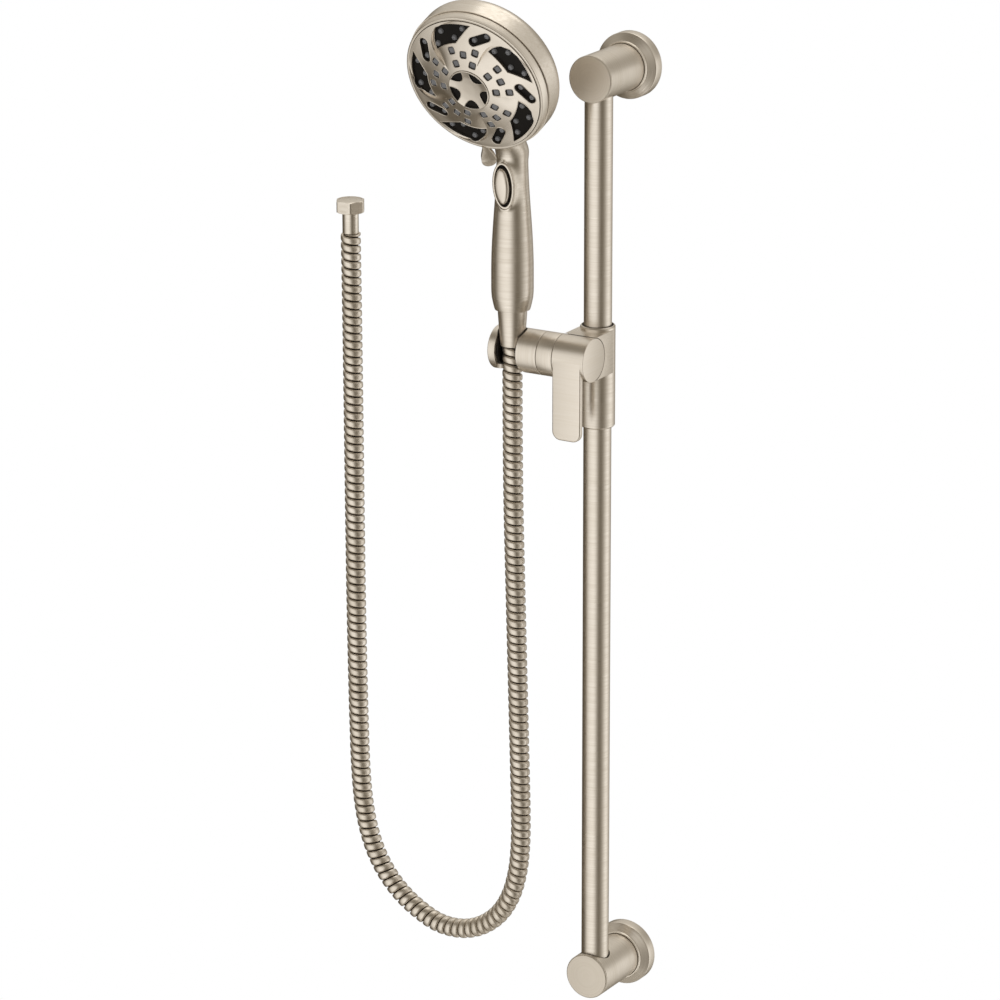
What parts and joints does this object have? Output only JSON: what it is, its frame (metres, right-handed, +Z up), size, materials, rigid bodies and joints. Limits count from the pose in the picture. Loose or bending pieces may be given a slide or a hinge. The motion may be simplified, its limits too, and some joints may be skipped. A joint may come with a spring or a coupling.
{
  "type": "hand shower on slide bar",
  "caption": "Hand shower with round pinwheel spray face in a tilting cradle on a wall slide bar, with a height-lock lever and a hanging metal hose, brushed nickel.",
  "frame": {"origin": "centre of the lower wall bracket's back face, on the finished wall", "axes": "+Z up along the slide bar, +Y into the wall, so -Y is towards the room and +X is to the right of someone facing the wall"},
  "size_m": [0.2455, 0.1927, 0.8437],
  "materials": {
    "rail_nickel": "satin brushed nickel",
    "bar_nickel": "satin brushed nickel, brushed along the bar",
    "slider_nickel": "satin brushed nickel",
    "handset_nickel": "satin brushed nickel plate",
    "face_nickel": "satin nickel plate",
    "hose_metal": "ridged interlocking metal hose, brushed nickel",
    "hose_fitting": "satin brushed nickel",
    "fastener_steel": "plain stainless steel",
    "black_plastic": "moulded black",
    "inner_plastic": "moulded natural acetal",
    "nozzle_silicone": "matt grey silicone",
    "window_rubber": "matt black silicone",
    "seal_rubber": "matt black rubber"
  },
  "bodies": {
    "rail": {"wall_bracket_lower": "fastener_steel", "wall_screw_lower_a": "fastener_steel", "wall_screw_lower_b": "fastener_steel", "post_lower": "rail_nickel", "post_cap_lower": "rail_nickel", "flange_lower": "rail_nickel", "bar_bushing_lower": "black_plastic", "set_screw_lower": "fastener_steel", "wall_bracket_upper": "fastener_steel", "wall_screw_upper_a": "fastener_steel", "wall_screw_upper_b": "fastener_steel", "post_upper": "rail_nickel", "post_cap_upper": "rail_nickel", "flange_upper": "rail_nickel", "bar_bushing_upper": "black_plastic", "set_screw_upper": "fastener_steel", "slide_bar": "bar_nickel"},
    "carriage": {"glide_ring_lower": "black_plastic", "glide_ring_upper": "black_plastic"},
    "slider": {"slider_body": "slider_nickel", "pivot_ring": "slider_nickel", "pivot_shaft": "fastener_steel", "friction_washer": "fastener_steel"},
    "lever": {"lock_lever": "slider_nickel"},
    "shoe": {"brake_shoe": "inner_plastic"},
    "cradle": {"cradle": "slider_nickel", "cradle_liner": "black_plastic"},
    "hose_end": {"hose": "hose_metal", "ferrule_upper": "hose_fitting", "ferrule_lower": "hose_fitting"},
    "hand_shower": {"hose_cone": "hose_fitting", "inlet_washer": "seal_rubber", "flow_regulator": "inner_plastic", "inlet_screen": "fastener_steel", "handle_shell": "handset_nickel", "water_tube": "inner_plastic", "button_bezel": "handset_nickel", "button_seal": "seal_rubber", "button_spring": "fastener_steel", "face_plate": "face_nickel", "nozzle_mat": "nozzle_silicone", "window_mat": "window_rubber", "centre_cap": "face_nickel", "centre_screw": "fastener_steel", "head_manifold": "black_plastic", "head_seal": "seal_rubber", "turbine_pin": "fastener_steel", "detent_ball": "fastener_steel", "detent_spring": "fastener_steel"},
    "selector": {"selector_ring": "handset_nickel", "diverter_disc": "inner_plastic"},
    "button": {"pause_button": "handset_nickel", "valve_stem": "fastener_steel"},
    "turbine": {"turbine": "inner_plastic"},
    "nut": {"hose_nut": "hose_fitting", "nut_washer": "seal_rubber"}
  },
  "joints": [
    {"name": "height_slide", "type": "slide", "parent": "rail", "child": "carriage", "axis": [0, 0, 1], "range_m": [-0.435, 0.175]},
    {"name": "bar_swivel", "type": "hinge", "parent": "carriage", "child": "slider", "pos_m": [0, -0.053, 0.5274], "axis": [0, 0, 1], "range_deg": [-20, 90]},
    {"name": "lever_lock", "type": "hinge", "parent": "slider", "child": "lever", "pos_m": [0, -0.0841, 0.5274], "axis": [-1, 0, 0], "range_deg": [0, 70]},
    {"name": "shoe_travel", "type": "slide", "parent": "slider", "child": "shoe", "axis": [0, -1, 0], "range_m": [0, 0.00066]},
    {"name": "cradle_tilt", "type": "hinge", "parent": "slider", "child": "cradle", "pos_m": [-0.03, -0.0841, 0.5274], "axis": [1, 0, 0], "range_deg": [-6, 45]},
    {"name": "lift_out", "type": "slide", "parent": "cradle", "child": "hose_end", "axis": [0, 0, 1], "range_m": [0, 0.035]},
    {"name": "handset_swivel", "type": "hinge", "parent": "hose_end", "child": "hand_shower", "pos_m": [-0.05625, -0.0894, 0.561], "axis": [0, 0, 1], "range_deg": [-100, 30]},
    {"name": "spray_selector", "type": "hinge", "parent": "hand_shower", "child": "selector", "pos_m": [-0.05625, -0.1465, 0.75145], "axis": [0, -0.9298, -0.3681], "range_deg": [-50, 50]},
    {"name": "pause_button", "type": "slide", "parent": "hand_shower", "child": "button", "axis": [0, 1, 0], "range_m": [0, 0.002], "stiffness_N_per_m": 400, "springref_m": -0.002},
    {"name": "turbine_spin", "type": "hinge", "parent": "hand_shower", "child": "turbine", "pos_m": [-0.05625, -0.1465, 0.75145], "axis": [0, -0.9298, -0.3681], "continuous": true},
    {"name": "nut_spin", "type": "hinge", "parent": "hose_end", "child": "nut", "pos_m": [-0.2055, -0.0894, 0.6253], "axis": [0, 0, 1], "continuous": true}
  ],
  "couplings": [
    {"joint": "shoe_travel", "follows": "lever_lock", "m_per_rad": 0.00053}
  ]
}
